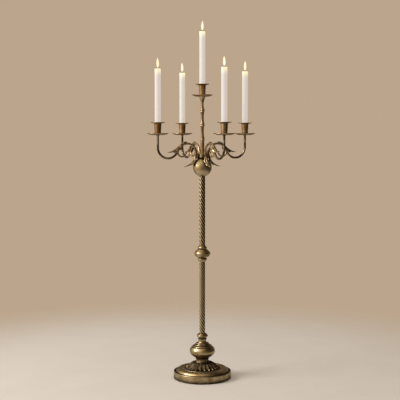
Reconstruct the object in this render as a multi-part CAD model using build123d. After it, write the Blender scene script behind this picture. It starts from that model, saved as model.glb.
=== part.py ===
"""A floor candelabra in aged brass, for five dinner candles.

A weighted round foot carries a column of turned pieces and two rope-twisted tubes, clamped on one
threaded tie rod. A ball and a hub on top of the column hold four scrolled arms, and a ringed spindle
above the hub holds the fifth light. Every light is a drip pan and a candle cup under one screw, with a
candle that lifts out.

The origin is on the floor at the centre of the foot, +Z is up, and the arms point along X and Y.
Lengths are in millimetres. The candle's 22 mm diameter is what the other sizes were scaled from.
"""

import os
from math import cos, pi, radians, sin, sqrt

from build123d import *

# Foot
FOOT_RADIUS = 106.0
FOOT_WALL_TOP = 27.0
SHELL_GAUGE = 2.0
SHELL_HEM = 1.5
FELT_RADIUS = 101.0
FELT_THICK = 2.0
GROOVE_RADIUS = 97.5
GROOVE_WIDTH = 4.2
GROOVE_FLOOR = 23.5
CUSHION_CREST = 37.5
CUSHION_CREST_RADIUS = 83.0
PLATE_RADIUS = 76.5
PLATE_TOP = 35.0

# Leaf collar on the foot
COLLAR_RADIUS = 70.5
COLLAR_TOP = 58.0
COLLAR_TOP_RADIUS = 36.5
LEAF_COUNT = 22
LEAF_LIP_RADIUS = 57.8
LEAF_LIP_HEIGHT = 38.6
LEAF_NOTCH_RADIUS = 4.4
LEAF_NOTCH_CIRCLE = 60.6

# Heights where the turned pieces of the column meet
NECK_TOP = 74.0
BULB_TOP = 115.5
CAP_TOP = 146.0
KNOP_TOP = 165.0
MID_COLLAR_FOOT = 433.0
MID_BULB_FOOT = 447.5
MID_BULB_TOP = 478.0
MID_COLLAR_TOP = 490.0
BULB_RADIUS = 46.8
BULB_HALF_HEIGHT = 28.5
BULB_EQUATOR = 100.6
CAP_RINGS = ((36.8, 4.6), (29.8, 4.8), (24.2, 5.6))
MID_BULB_RADIUS = 29.4
MID_COLLAR_RADIUS = 16.6

# Rope-twisted tubes
TUBE_RADIUS = 10.7
STRAND_COUNT = 6
STRAND_RADIUS = 4.5
LOWER_STRAND_PITCH = 13.4
UPPER_STRAND_PITCH = 15.0
TUBE_SOCKET = 4.0
SOCKET_PLAY = 0.2

# Tie rod, nut and washer
ROD_RADIUS = 4.0
ROD_PLAY = 0.2
ROD_FOOT = 4.0
ROD_TOP = 852.0
NUT_ACROSS_FLATS = 13.0
NUT_THICK = 6.5
WASHER_RADIUS = 12.0
WASHER_THICK = 1.6
NUT_POCKET_RADIUS = 16.0
NUT_POCKET_TOP = 14.0

# Ball and hub
BALL_RADIUS = 34.6
BALL_CENTRE = 780.7
BALL_GAUGE = 2.5
HUB_RADIUS = 15.5
HUB_TOP = 829.0
HUB_SEAT_RADIUS = 13.0

# Arms
ARM_AZIMUTHS = {"right": 0, "back": 90, "left": 180, "front": 270}
ARM_REACH = 177.0
ARM_RADIUS = 4.0
ARCH_RADIUS = 40.0
BOWL_RADIUS = 40.0
ARCH_CREST = 867.0
BOWL_LOW = 814.0
ARM_LEG_FOOT = 812.0
ARM_SEAT = 898.0
ARM_COLLAR_RADIUS = 6.5
ARM_COLLAR_HEIGHT = 4.5
SPIGOT_RADIUS = 2.9
SPIGOT_HEIGHT = 822.0
SPIGOT_REACH = 8.0
GRUB_RADIUS = 1.5
GRUB_CIRCLE = 11.8
TENDRIL_RADIUS = 17.4
TENDRIL_CENTRE = (81.4, 836.2)
TENDRIL_THICK = 3.0
BUD_RADIUS = 4.2

# Spindle that carries the top light
SPINDLE_SEAT = 1038.6
SPINDLE_FOOT_RADIUS = 9.0
SPINDLE_RINGS = (883.6, 936.0, 987.5)
RING_RADIUS = 8.5
RING_HALF_HEIGHT = 6.0
RING_GROOVE_RADIUS = 7.2
WAIST_RADIUS = 5.2
COLUMN_RADIUS = 6.7
SPINDLE_HEAD_RADIUS = 11.0

# Drip pan, candle cup, screw, candle and wick, all measured up from the seat of a light
PAN_RADIUS = 38.5
PAN_GAUGE = 1.5
PAN_FLAT_RADIUS = 15.0
PAN_RIM_HEIGHT = 7.4
CUP_FOOT_RADIUS = 11.2
CUP_LIP_RADIUS = 13.0
CUP_FLANGE_RADIUS = 26.0
CUP_FLANGE_FOOT = 41.8
CUP_FLANGE_TOP = 46.5
CUP_FLOOR = 16.5
CUP_BORE_FLOOR_RADIUS = 10.6
CUP_BORE_MOUTH_RADIUS = 11.6
SCREW_RADIUS = 2.0
SCREW_HEAD_RADIUS = 4.0
SCREW_HEAD_HEIGHT = 2.0
SCREW_BITE = 10.0
CANDLE_RADIUS = 11.0
CANDLE_FOOT_RADIUS = 10.25
CANDLE_FOOT_TAPER = 27.0
CANDLE_FOOT = 16.8
CANDLE_TOP = 237.5
CANDLE_EDGE = 2.2
MELT_POOL_RADIUS = 7.6
MELT_POOL_DEPTH = 1.6
WICK_RADIUS = 0.9
WICK_STANDS = 9.0


def outline(start, *steps):
    """A closed profile of (radius, height) points.

    A step is the next point after a straight edge, or a pair of points: an arc passes through the
    first and ends at the second. The last edge closes the profile.
    """
    edges = []
    here = start
    for step in steps:
        if isinstance(step[0], tuple):
            through, there = step
            edges.append(ThreePointArc(here, through, there))
        else:
            there = step
            edges.append(Line(here, there))
        here = there
    edges.append(Line(here, start))
    return Plane.XZ * make_face(edges)


def turned(start, *steps):
    """A solid turned about Z from the profile that outline makes."""
    return revolve(outline(start, *steps), Axis.Z)


def ring(radius, hole, low, high):
    """A plain round plate with a hole, between two heights."""
    return turned((hole, low), (radius, low), (radius, high), (hole, high))


def rod(radius, low, high):
    """A plain round bar on the Z axis, between two heights."""
    return Pos(0, 0, low) * Cylinder(radius, high - low, align=(Align.CENTER, Align.CENTER, Align.MIN))


ROD_HOLE = ROD_RADIUS + ROD_PLAY


# Foot


def felt_pad():
    return rod(FELT_RADIUS, 0, FELT_THICK)


def base_weight():
    """A cast iron disc that fills the spun shell, with a pocket below for the nut."""
    play = 0.4
    wall = FOOT_RADIUS - SHELL_GAUGE - play
    shoulder = PLATE_RADIUS - SHELL_GAUGE
    wall_top = GROOVE_FLOOR - 2 * SHELL_GAUGE
    groove_edge = GROOVE_RADIUS - 1.5 * SHELL_GAUGE
    body = turned(
        (0, FELT_THICK),
        (wall, FELT_THICK),
        (wall, wall_top),
        (groove_edge, wall_top),
        (shoulder, PLATE_TOP - SHELL_GAUGE),
        (0, PLATE_TOP - SHELL_GAUGE),
    )
    pocket = rod(NUT_POCKET_RADIUS, FELT_THICK, NUT_POCKET_TOP)
    return body - pocket - rod(ROD_HOLE, FELT_THICK, PLATE_TOP)


# The cushion is a round that is level at its crest and ends in the groove behind the rim.
CUSHION_RUN = GROOVE_RADIUS - CUSHION_CREST_RADIUS
CUSHION_RISE = CUSHION_CREST - GROOVE_FLOOR
CUSHION_ROUND = (CUSHION_RUN**2 + CUSHION_RISE**2) / (2 * CUSHION_RISE)


def on_cushion(degrees, inset=0.0):
    """A point of the cushion's round, counted from its crest outward, at a depth under its face."""
    radius = CUSHION_ROUND - inset
    across = CUSHION_CREST_RADIUS + radius * sin(radians(degrees))
    return (across, CUSHION_CREST - CUSHION_ROUND + radius * cos(radians(degrees)))


def base_shell():
    """A spun brass dish: upright rim, groove, round cushion and a flat plate for the collar."""
    inner = FOOT_RADIUS - SHELL_GAUGE
    rim_round = 2.0
    groove_under = GROOVE_FLOOR - SHELL_GAUGE
    plate_under = PLATE_TOP - SHELL_GAUGE
    return turned(
        (inner, SHELL_HEM),
        (FOOT_RADIUS - 0.8, SHELL_HEM),
        ((FOOT_RADIUS - 0.25, SHELL_HEM + 0.3), (FOOT_RADIUS, SHELL_HEM + 1.0)),
        (FOOT_RADIUS, FOOT_WALL_TOP - rim_round),
        ((FOOT_RADIUS - 0.6, FOOT_WALL_TOP - 0.6), (FOOT_RADIUS - rim_round, FOOT_WALL_TOP)),
        (GROOVE_RADIUS + GROOVE_WIDTH, GROOVE_FLOOR),
        (GROOVE_RADIUS, GROOVE_FLOOR),
        (on_cushion(35), on_cushion(0)),
        ((CUSHION_CREST_RADIUS - 3.4, CUSHION_CREST - 0.3), (PLATE_RADIUS + 1.0, CUSHION_CREST - 1.3)),
        (PLATE_RADIUS, PLATE_TOP),
        (ROD_HOLE, PLATE_TOP),
        (ROD_HOLE, plate_under),
        (PLATE_RADIUS - 1.0, plate_under),
        on_cushion(-12, SHELL_GAUGE),
        (on_cushion(28, SHELL_GAUGE), on_cushion(62, SHELL_GAUGE)),
        (GROOVE_RADIUS - 0.6, groove_under),
        (inner, groove_under),
    )


def leaf_collar():
    """A cast bell on a plain ring. Notches part its edge into the tips of a band of leaves."""
    wall = 4.0
    ring_top = PLATE_TOP + 1.8
    dish = PLATE_TOP + 0.9
    bell = turned(
        (LEAF_LIP_RADIUS - 2 * wall, PLATE_TOP),
        (COLLAR_RADIUS - 0.6, PLATE_TOP),
        ((COLLAR_RADIUS, PLATE_TOP + 0.8), (COLLAR_RADIUS - 1.2, ring_top)),
        (COLLAR_RADIUS - 3.2, ring_top),
        (COLLAR_RADIUS - 4.4, dish),
        (LEAF_LIP_RADIUS - 1.6, dish),
        ((LEAF_LIP_RADIUS, LEAF_LIP_HEIGHT - 1.0), (LEAF_LIP_RADIUS - 0.6, LEAF_LIP_HEIGHT)),
        ((49.4, 47.4), (COLLAR_TOP_RADIUS + 1.5, COLLAR_TOP - 0.8)),
        (COLLAR_TOP_RADIUS, COLLAR_TOP),
        (ROD_HOLE, COLLAR_TOP),
        (ROD_HOLE, COLLAR_TOP - wall),
        (COLLAR_TOP_RADIUS - wall, COLLAR_TOP - wall),
    )
    turn = 360 / LEAF_COUNT
    notch = Pos(LEAF_NOTCH_CIRCLE, 0, LEAF_LIP_HEIGHT + 1.6) * Sphere(LEAF_NOTCH_RADIUS)
    return bell.cut(*[Rot(0, 0, turn * i) * notch for i in range(LEAF_COUNT)])


# Turned pieces of the column


def neck_spool():
    """A hollowed neck on a small round bead, which lifts the bulb off the collar."""
    bead_radius = 28.2
    bead_top = COLLAR_TOP + 3.6
    waist = 23.0
    lip = 25.4
    return turned(
        (ROD_HOLE, COLLAR_TOP),
        (bead_radius - 1.4, COLLAR_TOP),
        ((bead_radius, COLLAR_TOP + 1.8), (bead_radius - 1.4, bead_top)),
        (bead_radius - 2.6, bead_top),
        ((waist, (bead_top + NECK_TOP) / 2), (lip - 0.8, NECK_TOP - 2.0)),
        ((lip, NECK_TOP - 1.0), (lip - 0.8, NECK_TOP)),
        (ROD_HOLE, NECK_TOP),
    )


def lower_bulb():
    """A hollow oblate bulb of spun brass, with a flat end plate at each opening."""
    plate = 4.0
    gauge = 2.5
    squash = BULB_HALF_HEIGHT / BULB_RADIUS

    def oblate(radius, half_height, low, high):
        half = Pos(0, BULB_EQUATOR) * Ellipse(radius, half_height)
        band = Pos(radius / 2, (low + high) / 2) * Rectangle(radius, high - low)
        return revolve(Plane.XZ * (half & band), Axis.Z)

    inside = BULB_RADIUS - gauge
    skin = oblate(BULB_RADIUS, BULB_HALF_HEIGHT, NECK_TOP, BULB_TOP)
    hollow = oblate(inside, inside * squash, NECK_TOP + plate, BULB_TOP - plate)
    return skin - hollow - rod(ROD_HOLE, NECK_TOP, BULB_TOP)


def bulb_cap():
    """Three stepped rings and a hollowed neck, between the large bulb and the small knop."""
    waist = 14.4
    edge = 1.6
    low = BULB_TOP
    rings = []
    for radius, height in CAP_RINGS:
        rings += [
            (radius - edge, low),
            ((radius, low + height / 2), (radius - edge, low + height)),
        ]
        low += height
    return turned(
        (ROD_HOLE, BULB_TOP),
        *rings,
        (waist + 4.6, low),
        ((waist + 1.0, low + 3.2), (waist, low + 8.4)),
        (waist + 0.4, CAP_TOP - 2.6),
        (waist + 2.2, CAP_TOP - 1.4),
        (waist + 2.2, CAP_TOP),
        (ROD_HOLE, CAP_TOP),
    )


def lower_knop():
    """The small ring at the foot of the twisted tube, on a narrow foot and bored to seat the tube's end."""
    foot, girth, lip = 13.8, 20.7, 16.4
    girth_foot = CAP_TOP + 5.6
    girth_top = CAP_TOP + 15.0
    seat = TUBE_RADIUS + SOCKET_PLAY
    return turned(
        (ROD_HOLE, CAP_TOP),
        (foot, CAP_TOP),
        (foot, girth_foot - 1.2),
        (girth - 3.8, girth_foot),
        ((girth, girth_foot + 4.6), (girth - 3.2, girth_top)),
        (lip - 0.6, girth_top + 0.6),
        ((lip, girth_top + 2.0), (lip - 1.4, KNOP_TOP - 0.4)),
        (seat + 0.8, KNOP_TOP),
        (seat, KNOP_TOP - 0.8),
        (seat, KNOP_TOP - TUBE_SOCKET),
        (ROD_HOLE, KNOP_TOP - TUBE_SOCKET),
    )


def twisted_tube(low, high, strand_pitch):
    """A bored bar of round strands laid together, falling to the right as the eye goes round it."""
    lay_circle = TUBE_RADIUS - STRAND_RADIUS
    turn = 2 * pi / STRAND_COUNT
    section = Sketch() + Circle(lay_circle)
    for strand in range(STRAND_COUNT):
        place = Pos(lay_circle * cos(turn * strand), lay_circle * sin(turn * strand))
        section += place * Circle(STRAND_RADIUS)
    length = high - low
    twist = -360 * length / (strand_pitch * STRAND_COUNT)
    bar = Solid.extrude_linear_with_rotation(section.face(), (0, 0, 0), (0, 0, length), twist)
    return Pos(0, 0, low) * (Part() + bar - rod(ROD_HOLE, 0, length))


def lower_shaft():
    return twisted_tube(KNOP_TOP - TUBE_SOCKET, MID_COLLAR_FOOT + TUBE_SOCKET, LOWER_STRAND_PITCH)


def upper_shaft():
    return twisted_tube(MID_COLLAR_TOP - TUBE_SOCKET, ball_flat(TUBE_RADIUS, -1), UPPER_STRAND_PITCH)


def mid_lower_collar():
    """The collar under the middle knop, bored from below for the lower tube."""
    seat = TUBE_RADIUS + SOCKET_PLAY
    bead_low = MID_COLLAR_FOOT + 4.6
    return turned(
        (seat, MID_COLLAR_FOOT),
        (seat + 1.6, MID_COLLAR_FOOT),
        (MID_COLLAR_RADIUS - 2.0, bead_low - 0.6),
        ((MID_COLLAR_RADIUS, bead_low + 3.2), (MID_COLLAR_RADIUS - 1.2, MID_BULB_FOOT - 2.4)),
        (MID_COLLAR_RADIUS - 2.6, MID_BULB_FOOT),
        (ROD_HOLE, MID_BULB_FOOT),
        (ROD_HOLE, MID_COLLAR_FOOT + TUBE_SOCKET),
        (seat, MID_COLLAR_FOOT + TUBE_SOCKET),
    )


def mid_bulb():
    """The middle knop: a flattened bulb with a stepped ring below its equator."""
    equator = 462.5
    step_radius = 26.0
    return turned(
        (ROD_HOLE, MID_BULB_FOOT),
        (16.4, MID_BULB_FOOT),
        ((20.6, MID_BULB_FOOT + 1.8), (step_radius - 1.0, MID_BULB_FOOT + 5.4)),
        ((step_radius + 0.4, MID_BULB_FOOT + 7.2), (step_radius - 0.6, MID_BULB_FOOT + 9.0)),
        (step_radius + 1.0, MID_BULB_FOOT + 9.4),
        ((MID_BULB_RADIUS, equator), (step_radius + 0.2, equator + 6.8)),
        ((22.0, equator + 11.0), (17.4, MID_BULB_TOP)),
        (ROD_HOLE, MID_BULB_TOP),
    )


def mid_upper_collar():
    """The collar over the middle knop, bored from above for the upper tube."""
    seat = TUBE_RADIUS + SOCKET_PLAY
    return turned(
        (ROD_HOLE, MID_BULB_TOP),
        (MID_COLLAR_RADIUS - 1.6, MID_BULB_TOP),
        (MID_COLLAR_RADIUS - 1.6, MID_BULB_TOP + 1.6),
        ((MID_COLLAR_RADIUS + 0.4, MID_BULB_TOP + 5.2), (MID_COLLAR_RADIUS - 1.2, MID_COLLAR_TOP - 3.0)),
        (seat + 1.4, MID_COLLAR_TOP),
        (seat, MID_COLLAR_TOP),
        (seat, MID_COLLAR_TOP - TUBE_SOCKET),
        (ROD_HOLE, MID_COLLAR_TOP - TUBE_SOCKET),
    )


def ball_flat(radius, side):
    """Height where the ball is a given radius across, above (1) or below (-1) its centre."""
    return BALL_CENTRE + side * sqrt(BALL_RADIUS**2 - radius**2)


def ball():
    """A hollow ball with flats at its poles for the tube below and the hub above."""
    low, high = ball_flat(TUBE_RADIUS, -1), ball_flat(HUB_SEAT_RADIUS, 1)
    plate = 4.0
    inside = BALL_RADIUS - BALL_GAUGE
    skin = Sphere(BALL_RADIUS) & Pos(0, 0, (low + high) / 2 - BALL_CENTRE) * Box(
        2 * BALL_RADIUS, 2 * BALL_RADIUS, high - low
    )
    hollow = Sphere(inside) & Pos(0, 0, (low + high) / 2 - BALL_CENTRE) * Box(
        2 * BALL_RADIUS, 2 * BALL_RADIUS, high - low - 2 * plate
    )
    return Pos(0, 0, BALL_CENTRE) * (skin - hollow) - rod(ROD_HOLE, low, high)


# Hub, arms and what is brazed to them


def arm_hub():
    """The boss that holds the arms: a radial hole for each spigot, and a tapped one above it."""
    foot = ball_flat(HUB_SEAT_RADIUS, 1)
    boss = turned(
        (ROD_HOLE, foot),
        (HUB_SEAT_RADIUS, foot),
        ((HUB_RADIUS, foot + 3.4), (HUB_RADIUS, foot + 7.0)),
        (HUB_RADIUS, HUB_TOP - 2.4),
        ((HUB_RADIUS - 0.6, HUB_TOP - 0.7), (HUB_RADIUS - 2.4, HUB_TOP)),
        (ROD_HOLE, HUB_TOP),
    )
    for azimuth in ARM_AZIMUTHS.values():
        turn = Rot(0, 0, azimuth)
        boss -= turn * radial_bar(SPIGOT_RADIUS + 0.05, SPIGOT_REACH - 0.5, HUB_RADIUS + 1)
        boss -= turn * Pos(GRUB_CIRCLE, 0, 0) * rod(GRUB_RADIUS, SPIGOT_HEIGHT, HUB_TOP)
    return boss


def radial_bar(radius, inner, outer):
    """A bar along X at the height of the arms' spigots."""
    bar = Cylinder(radius, outer - inner, align=(Align.CENTER, Align.CENTER, Align.MIN))
    return Pos(inner, 0, SPIGOT_HEIGHT) * Rot(0, 90, 0) * bar


def arm_set_screws():
    """One socketed grub screw for each arm, down through the hub onto the arm's spigot."""
    length = HUB_TOP - 0.4 - (SPIGOT_HEIGHT + SPIGOT_RADIUS)
    socket = extrude(RegularPolygon(0.75, 6), 1.6)
    grub = rod(GRUB_RADIUS, 0, length) - Pos(0, 0, length - 1.6) * socket
    seated = Pos(GRUB_CIRCLE, 0, SPIGOT_HEIGHT + SPIGOT_RADIUS) * grub
    return Compound([Rot(0, 0, azimuth) * seated for azimuth in ARM_AZIMUTHS.values()])


# Centres of the two arcs of an arm, in its own (radius, height) plane. They touch where they swap.
RISE = ARCH_RADIUS + BOWL_RADIUS - (ARCH_CREST - BOWL_LOW)
BOWL_CENTRE = (ARM_REACH - BOWL_RADIUS, BOWL_LOW + BOWL_RADIUS)
ARCH_CENTRE = (
    BOWL_CENTRE[0] - sqrt((ARCH_RADIUS + BOWL_RADIUS) ** 2 - RISE**2),
    ARCH_CREST - ARCH_RADIUS,
)


def arm():
    """A round bar bent over an arch, through a bowl and up to the seat, with a spigot to the hub."""
    leg = ARCH_CENTRE[0] - ARCH_RADIUS
    share = ARCH_RADIUS / (ARCH_RADIUS + BOWL_RADIUS)
    swap = (
        ARCH_CENTRE[0] + share * (BOWL_CENTRE[0] - ARCH_CENTRE[0]),
        ARCH_CENTRE[1] + share * (BOWL_CENTRE[1] - ARCH_CENTRE[1]),
    )
    path = Wire(
        [
            Line((leg, ARM_LEG_FOOT), (leg, ARCH_CENTRE[1])),
            ThreePointArc((leg, ARCH_CENTRE[1]), (ARCH_CENTRE[0], ARCH_CREST), swap),
            ThreePointArc(swap, (BOWL_CENTRE[0], BOWL_LOW), (ARM_REACH, BOWL_CENTRE[1])),
            Line((ARM_REACH, BOWL_CENTRE[1]), (ARM_REACH, ARM_SEAT)),
        ]
    )
    path = Plane.XZ * path
    start = Plane(origin=(leg, 0, ARM_LEG_FOOT), z_dir=(0, 0, 1))
    bar = sweep(start * Circle(ARM_RADIUS), path)
    collar = turned(
        (0, ARM_SEAT - ARM_COLLAR_HEIGHT),
        (ARM_RADIUS, ARM_SEAT - ARM_COLLAR_HEIGHT),
        ((ARM_RADIUS + 0.7, ARM_SEAT - 2.0), (ARM_COLLAR_RADIUS, ARM_SEAT - 1.0)),
        (ARM_COLLAR_RADIUS, ARM_SEAT),
        (0, ARM_SEAT),
    )
    tapped = rod(SCREW_RADIUS, ARM_SEAT - SCREW_BITE - 1, ARM_SEAT)
    return bar + Pos(ARM_REACH, 0, 0) * (collar - tapped) + radial_bar(SPIGOT_RADIUS, SPIGOT_REACH, leg) - (
        Pos(ARM_REACH, 0, 0) * tapped
    )


def leaf(spine, stations):
    """A pointed leaf along a curve in the XZ plane.

    Each station is (share of the spine, width, thickness, droop of the edges below the midrib).
    """
    sections = []
    for share, width, thick, droop in stations:
        place = Plane(origin=spine @ share, x_dir=(0, 1, 0), z_dir=spine % share)
        left, right = (-width / 2, -droop), (width / 2, -droop)
        upper = ThreePointArc(left, (0, thick / 2), right)
        lower = ThreePointArc(right, (0, -thick / 2), left)
        sections.append(place * make_face([upper, lower]))
    return loft(sections)


def husk_leaf(bar):
    """The leaf that lies over the arch and lifts off it in a point above the bowl."""
    spine = Plane.XZ * Bezier((64.0, 873.2), (89.0, 873.0), (99.0, 838.0), (139.0, 835.6))
    stations = (
        (0.0, 7.0, 2.2, 2.0),
        (0.16, 12.5, 3.0, 4.6),
        (0.34, 18.5, 3.4, 7.4),
        (0.52, 21.0, 3.4, 8.6),
        (0.70, 17.0, 3.0, 6.8),
        (0.86, 9.5, 2.4, 2.6),
        (1.0, 1.0, 0.8, 0.1),
    )
    return leaf(spine, stations) - bar


def spur_leaf(bar):
    """The leaf that starts on the arm's inner leg and curls out below it in a point."""
    spine = Plane.XZ * Bezier((30.6, 848.0), (24.6, 812.0), (36.0, 790.0), (73.6, 782.6))
    stations = (
        (0.0, 6.0, 2.2, 2.0),
        (0.18, 12.0, 3.0, 4.0),
        (0.38, 16.5, 3.6, 5.0),
        (0.58, 15.5, 3.6, 4.0),
        (0.80, 9.0, 2.8, 1.8),
        (1.0, 1.0, 0.8, 0.1),
    )
    return leaf(spine, stations) - bar


def tendril(bar):
    """The small hook under the arch, which ends in a bud."""
    across, height = TENDRIL_CENTRE
    root = (across + TENDRIL_RADIUS, height)
    tip = (across - TENDRIL_RADIUS, height)
    path = Plane.XZ * ThreePointArc(root, (across, height - TENDRIL_RADIUS), tip)
    start = Plane(origin=path @ 0, z_dir=path % 0)
    hook = sweep(start * Circle(TENDRIL_THICK), path)
    bud = Pos(tip[0], 0, tip[1]) * Sphere(BUD_RADIUS)
    return hook + bud - bar


# Spindle


def spindle():
    """A turned stem with three pairs of rings, tapped below for the tie rod and above for a screw."""
    bead = RING_HALF_HEIGHT / 2
    edge = RING_GROOVE_RADIUS - 0.4
    low = HUB_TOP + 5.0
    belly = COLUMN_RADIUS + 0.5
    steps = [
        (SPINDLE_FOOT_RADIUS, HUB_TOP),
        ((SPINDLE_FOOT_RADIUS + 0.8, HUB_TOP + 1.6), (SPINDLE_FOOT_RADIUS - 0.4, HUB_TOP + 3.4)),
        (COLUMN_RADIUS, low),
    ]
    for ring_height in SPINDLE_RINGS:
        below = ring_height - RING_HALF_HEIGHT
        above = ring_height + RING_HALF_HEIGHT
        steps += [
            ((belly, (low + below) / 2), (edge, below)),
            ((RING_RADIUS, below + bead), (RING_GROOVE_RADIUS, ring_height - 0.5)),
            (RING_GROOVE_RADIUS, ring_height + 0.5),
            ((RING_RADIUS, above - bead), (edge, above)),
        ]
        low = above
        belly = WAIST_RADIUS
    neck = low + 10.0
    head = SPINDLE_SEAT - 3.0
    steps += [
        ((WAIST_RADIUS + 0.1, (low + neck) / 2 + 1), (WAIST_RADIUS - 0.3, neck)),
        ((WAIST_RADIUS + 1.2, (neck + head) / 2 + 4), (SPINDLE_HEAD_RADIUS, head)),
        (SPINDLE_HEAD_RADIUS, SPINDLE_SEAT),
        (0, SPINDLE_SEAT),
    ]
    stem = turned((0, HUB_TOP), *steps)
    tapped = rod(SCREW_RADIUS, SPINDLE_SEAT - SCREW_BITE - 1, SPINDLE_SEAT)
    return stem - rod(ROD_RADIUS, HUB_TOP, ROD_TOP + 2) - tapped


# What clamps the column


def tie_rod():
    return rod(ROD_RADIUS, ROD_FOOT, ROD_TOP)


def base_washer():
    return ring(WASHER_RADIUS, ROD_HOLE, NUT_POCKET_TOP - WASHER_THICK, NUT_POCKET_TOP)


def base_nut():
    top = NUT_POCKET_TOP - WASHER_THICK
    hexagon = RegularPolygon(NUT_ACROSS_FLATS / 2, 6, major_radius=False)
    blank = Pos(0, 0, top - NUT_THICK) * extrude(hexagon, NUT_THICK)
    return blank - rod(ROD_RADIUS, top - NUT_THICK, top)


# One light, built on the Z axis with its seat at zero


def drip_pan():
    """A shallow saucer with a rolled edge and a hole for the screw."""
    flat, rim, edge = PAN_FLAT_RADIUS, PAN_RIM_HEIGHT, PAN_RADIUS
    return turned(
        (SCREW_RADIUS + 0.2, 0),
        (flat, 0),
        ((flat + 13.0, 1.6), (edge - 1.2, rim - 2.1)),
        ((edge, rim - 1.4), (edge - 0.9, rim)),
        ((flat + 12.0, PAN_GAUGE + 1.7), (flat - 1.0, PAN_GAUGE)),
        (SCREW_RADIUS + 0.2, PAN_GAUGE),
    )


def candle_cup():
    """A tapered cup with a wide dished flange, drilled and countersunk in its floor."""
    lip_inside = CUP_BORE_MOUTH_RADIUS
    return turned(
        (SCREW_RADIUS + 0.2, PAN_GAUGE),
        (CUP_FOOT_RADIUS + 1.6, PAN_GAUGE),
        ((CUP_FOOT_RADIUS + 1.9, PAN_GAUGE + 1.1), (CUP_FOOT_RADIUS, PAN_GAUGE + 2.6)),
        (CUP_LIP_RADIUS, CUP_FLANGE_FOOT - 2.0),
        ((CUP_LIP_RADIUS + 1.0, CUP_FLANGE_FOOT - 0.3), (CUP_LIP_RADIUS + 3.0, CUP_FLANGE_FOOT + 0.4)),
        (CUP_FLANGE_RADIUS - 1.0, CUP_FLANGE_TOP - 1.7),
        ((CUP_FLANGE_RADIUS, CUP_FLANGE_TOP - 0.8), (CUP_FLANGE_RADIUS - 0.8, CUP_FLANGE_TOP)),
        (lip_inside + 2.4, CUP_FLANGE_FOOT + 1.6),
        ((lip_inside + 0.5, CUP_FLANGE_FOOT + 0.7), (lip_inside, CUP_FLANGE_FOOT - 1.0)),
        (CUP_BORE_FLOOR_RADIUS, CUP_FLOOR),
        (SCREW_HEAD_RADIUS + 0.2, CUP_FLOOR),
        (SCREW_RADIUS + 0.2, CUP_FLOOR - SCREW_HEAD_HEIGHT),
    )


def cup_screw():
    """A slotted countersunk screw from the cup's floor into the seat."""
    slot_width, slot_depth = 0.9, 0.8
    head_top = CUP_FLOOR - 0.1
    body = turned(
        (0, -SCREW_BITE),
        (SCREW_RADIUS, -SCREW_BITE),
        (SCREW_RADIUS, head_top - SCREW_HEAD_HEIGHT),
        (SCREW_HEAD_RADIUS, head_top),
        (0, head_top),
    )
    slot = Pos(0, 0, head_top - slot_depth / 2) * Box(3 * SCREW_HEAD_RADIUS, slot_width, slot_depth)
    return body - slot


def candle():
    """A dinner candle with a tapered foot, a softened rim and a shallow melt pool."""
    rim = CANDLE_TOP
    pool = rim - MELT_POOL_DEPTH
    return turned(
        (WICK_RADIUS, CANDLE_FOOT),
        (CANDLE_FOOT_RADIUS - 1.0, CANDLE_FOOT),
        (CANDLE_FOOT_RADIUS, CANDLE_FOOT + 1.2),
        (CANDLE_RADIUS, CANDLE_FOOT + CANDLE_FOOT_TAPER),
        (CANDLE_RADIUS, rim - CANDLE_EDGE),
        ((CANDLE_RADIUS - 0.5, rim - 0.6), (CANDLE_RADIUS - CANDLE_EDGE, rim)),
        ((MELT_POOL_RADIUS - 0.8, rim - 0.9), (WICK_RADIUS, pool)),
    )


def wick():
    return rod(WICK_RADIUS, CANDLE_FOOT, CANDLE_TOP + WICK_STANDS)


def build():
    """Every node of the candelabra, by name."""
    nodes = {
        "felt_pad": felt_pad(),
        "base_weight": base_weight(),
        "base_shell": base_shell(),
        "leaf_collar": leaf_collar(),
        "neck_spool": neck_spool(),
        "lower_bulb": lower_bulb(),
        "bulb_cap": bulb_cap(),
        "lower_knop": lower_knop(),
        "lower_shaft": lower_shaft(),
        "mid_lower_collar": mid_lower_collar(),
        "mid_bulb": mid_bulb(),
        "mid_upper_collar": mid_upper_collar(),
        "upper_shaft": upper_shaft(),
        "ball": ball(),
        "arm_hub": arm_hub(),
        "arm_set_screws": arm_set_screws(),
        "spindle": spindle(),
        "tie_rod": tie_rod(),
        "base_washer": base_washer(),
        "base_nut": base_nut(),
    }
    bar = arm()
    brazed = {
        "arm": bar,
        "husk_leaf": husk_leaf(bar),
        "spur_leaf": spur_leaf(bar),
        "tendril": tendril(bar),
    }
    seats = {"top": Pos(0, 0, SPINDLE_SEAT)}
    for side, azimuth in ARM_AZIMUTHS.items():
        turn = Rot(0, 0, azimuth)
        seats[side] = turn * Pos(ARM_REACH, 0, ARM_SEAT)
        for name, piece in brazed.items():
            nodes[f"{name}_{side}"] = turn * piece
    light = {"drip_pan": drip_pan(), "candle_cup": candle_cup(), "candle": candle(), "wick": wick()}
    for side, seat in seats.items():
        for name, piece in light.items():
            nodes[f"{name}_{side}"] = seat * piece
    nodes["cup_screws"] = Compound([seat * cup_screw() for seat in seats.values()])
    return nodes


def main():
    os.makedirs("parts", exist_ok=True)
    for name, shape in build().items():
        export_step(shape, f"parts/{name}.step")


if __name__ == "__main__":
    main()
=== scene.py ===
"""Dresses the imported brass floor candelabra: leaves, hooks, candles, flames, finishes and a plain stage.

Run as a script. It is laid out as an add-on, with one operator for each group of pieces. It works in the
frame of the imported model: the origin is on the floor under the column, +Z is up, and the arms point along
X and Y. Shapes are worked out in millimetres and made in metres.
"""

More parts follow.
